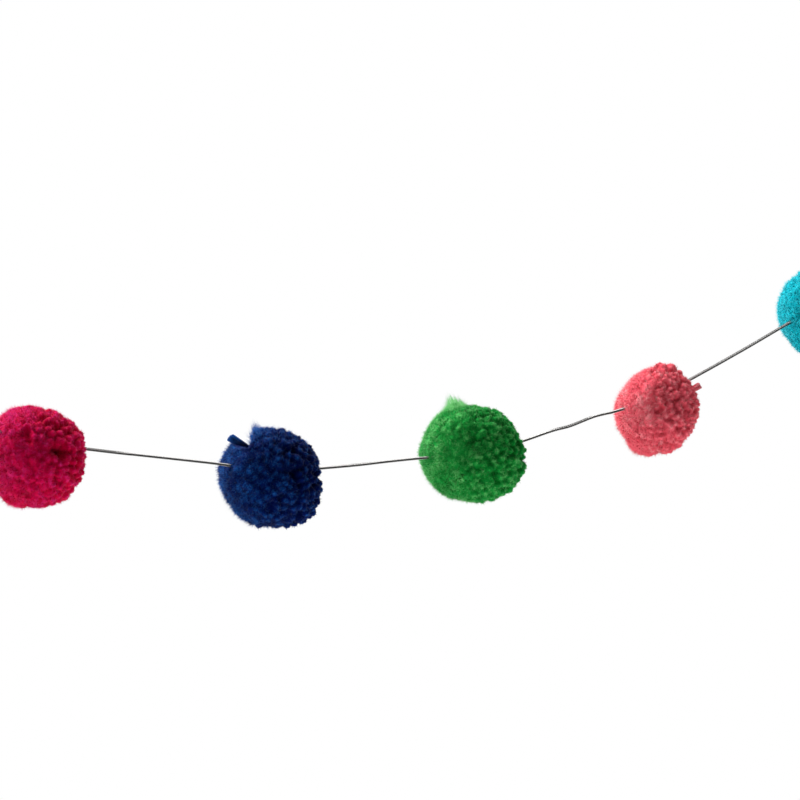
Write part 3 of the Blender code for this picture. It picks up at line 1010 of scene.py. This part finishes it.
class GARLAND_OT_set_stage(bpy.types.Operator):
    """Place the camera, the plain floor and the soft white light"""

    bl_idname = "garland.set_stage"
    bl_label = "Stage"

    def execute(self, context):
        settings = context.scene.garland_stage
        target = np.array(CAMERA_TARGET)
        azimuth = math.radians(CAMERA_AZIMUTH)
        towards_camera = np.array([math.sin(azimuth), -math.cos(azimuth), 0.0])
        camera = bpy.data.objects.new("camera", bpy.data.cameras.new("camera"))
        camera.data.lens = CAMERA_LENS
        camera.data.sensor_width = 36.0
        context.scene.collection.objects.link(camera)
        context.scene.camera = camera
        aim(camera, target + CAMERA_DISTANCE * towards_camera, target)
        self.add_floor(settings, target)
        self.light(settings, target, towards_camera)
        context.scene.view_settings.view_transform = "Standard"
        return {"FINISHED"}

    def add_floor(self, settings, target):
        """A flat square slab under the garland."""
        half = settings.floor_size / 2
        outline = np.array([(-half, -half, 0), (half, -half, 0), (half, half, 0), (-half, half, 0)])
        top = outline + target - (0.0, 0.0, settings.floor_drop)
        rings = np.stack([top - (0.0, 0.0, FLOOR_THICKNESS), top])[None]
        material, tree, surface = new_material("floor", 0.8)
        shades = noise_at(tree, 3, 2)
        ramp = add_node(tree, "ShaderNodeValToRGB")
        colour = np.array(settings.floor_colour)
        ramp.color_ramp.elements[0].color = (*(colour * 0.98), 1.0)
        ramp.color_ramp.elements[1].color = (*colour, 1.0)
        tree.links.new(shades, ramp.inputs["Fac"])
        tree.links.new(ramp.outputs["Color"], surface.inputs["Base Color"])
        floor = add_piece("floor", sweep(rings, np.zeros(rings.shape[:3])), material)
        floor.data.polygons.foreach_set("use_smooth", np.zeros(len(floor.data.polygons), bool))

    def light(self, settings, target, towards_camera):
        """A white surround, darker on the camera's side, and one soft light above, at the left and behind."""
        world = bpy.data.worlds.new("surround")
        bpy.context.scene.world = world
        world.use_nodes = True
        tree = world.node_tree
        tree.nodes.clear()
        place = add_node(tree, "ShaderNodeTexCoord")
        facing = add_node(tree, "ShaderNodeVectorMath", operation="DOT_PRODUCT")
        right = np.array([-towards_camera[1], towards_camera[0], 0.0])
        darkest = unit(towards_camera + DARK_TURN * right - (0.0, 0.0, DARK_DROP))
        facing.inputs[1].default_value = tuple(darkest)
        tree.links.new(place.outputs["Generated"], facing.inputs[0])
        strength = add_node(tree, "ShaderNodeMapRange", interpolation_type="SMOOTHSTEP")
        strength.inputs["From Min"].default_value = DARK_FROM
        strength.inputs["From Max"].default_value = DARK_TO
        strength.inputs["To Min"].default_value = settings.surround
        strength.inputs["To Max"].default_value = settings.front
        tree.links.new(facing.outputs["Value"], strength.inputs["Value"])
        lit = add_node(tree, "ShaderNodeBackground")
        tree.links.new(strength.outputs["Result"], lit.inputs["Strength"])
        seen = add_node(tree, "ShaderNodeBackground", Color=(1.0, 1.0, 1.0, 1.0))
        lit.inputs["Color"].default_value = (1.0, 1.0, 1.0, 1.0)
        rays = add_node(tree, "ShaderNodeLightPath")
        choice = add_node(tree, "ShaderNodeMixShader")
        tree.links.new(rays.outputs["Is Camera Ray"], choice.inputs["Fac"])
        tree.links.new(lit.outputs[0], choice.inputs[1])
        tree.links.new(seen.outputs[0], choice.inputs[2])
        output = add_node(tree, "ShaderNodeOutputWorld")
        tree.links.new(choice.outputs[0], output.inputs["Surface"])
        key = target - KEY_LEFT * right - KEY_BEHIND * towards_camera + (0.0, 0.0, KEY_ABOVE)
        area_light("key", settings.key_power, KEY_SIZE, key, target)


class GARLAND_OT_plait_cord(bpy.types.Operator):
    """Plait the flat metallic cord that the balls hang on"""

    bl_idname = "garland.plait_cord"
    bl_label = "Cord"

    def execute(self, context):
        settings = context.scene.garland_cord
        line = cord_points(settings.repeat / 18)
        cord = add_piece("plaited_cord", plait(line, turned_facing(line), settings), cord_material(settings))
        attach(cord, "root")
        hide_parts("cord")
        return {"FINISHED"}


class GARLAND_OT_tie_end_loops(bpy.types.Operator):
    """Tie a knotted loop at each end of the cord"""

    bl_idname = "garland.tie_end_loops"
    bl_label = "End loops"

    def execute(self, context):
        settings = context.scene.garland_cord
        line = cord_points(settings.repeat / 18)
        cord = bpy.data.objects["plaited_cord"]
        for side, end, inner in (("left", line[0], line[1]), ("right", line[-1], line[-2])):
            patch = looped_end(end, inner, settings, settings.repeat / 16)
            loop = add_piece(f"looped_end_{side}", patch, cord.data.materials[0])
            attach(loop, "root")
            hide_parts(f"end_loop_{side}")
        return {"FINISHED"}


class GARLAND_OT_make_pompoms(bpy.types.Operator):
    """Make the five yarn pompoms on the cord"""

    bl_idname = "garland.make_pompoms"
    bl_label = "Pompoms"

    def execute(self, context):
        settings = context.scene.garland_pompoms
        line = cord_points(0.0004)
        for ball in BALLS:
            centre = np.array(ball.centre)
            patch = pompom_patch(ball, settings, line - centre)
            patch = patch._replace(vertices=patch.vertices + centre)
            colour = getattr(settings, ball.name)
            material = yarn_material(f"yarn_{ball.name}", colour, ball.depth, ball.bloom)
            piece = add_piece(f"yarn_pile_{ball.name}", patch, material)
            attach(piece, "root")
            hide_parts(f"pompom_{ball.name}")
        return {"FINISHED"}


class GARLAND_PT_panel(bpy.types.Panel):
    """The garland's pieces and their sizes."""

    bl_label = "Garland"
    bl_idname = "GARLAND_PT_panel"
    bl_space_type = "VIEW_3D"
    bl_region_type = "UI"
    bl_category = "Garland"

    def draw(self, context):
        for operator in OPERATORS:
            self.layout.operator(operator.bl_idname)
        for group in (context.scene.garland_cord, context.scene.garland_pompoms, context.scene.garland_stage):
            box = self.layout.box()
            for name in group.__annotations__:
                box.prop(group, name)


GROUPS = {"garland_cord": CordSettings, "garland_pompoms": PompomSettings, "garland_stage": StageSettings}
OPERATORS = (GARLAND_OT_set_stage, GARLAND_OT_plait_cord, GARLAND_OT_tie_end_loops, GARLAND_OT_make_pompoms)


def register():
    for kind in (*GROUPS.values(), *OPERATORS, GARLAND_PT_panel):
        bpy.utils.register_class(kind)
    for name, group in GROUPS.items():
        setattr(bpy.types.Scene, name, bpy.props.PointerProperty(type=group))


def unregister():
    for name in GROUPS:
        delattr(bpy.types.Scene, name)
    for kind in (GARLAND_PT_panel, *reversed(OPERATORS), *reversed(GROUPS.values())):
        bpy.utils.unregister_class(kind)


def main():
    """Registers the add-on and makes each piece in turn."""
    register()
    bpy.ops.garland.set_stage()
    bpy.ops.garland.plait_cord()
    bpy.ops.garland.tie_end_loops()
    bpy.ops.garland.make_pompoms()


if __name__ == "__main__":
    main()
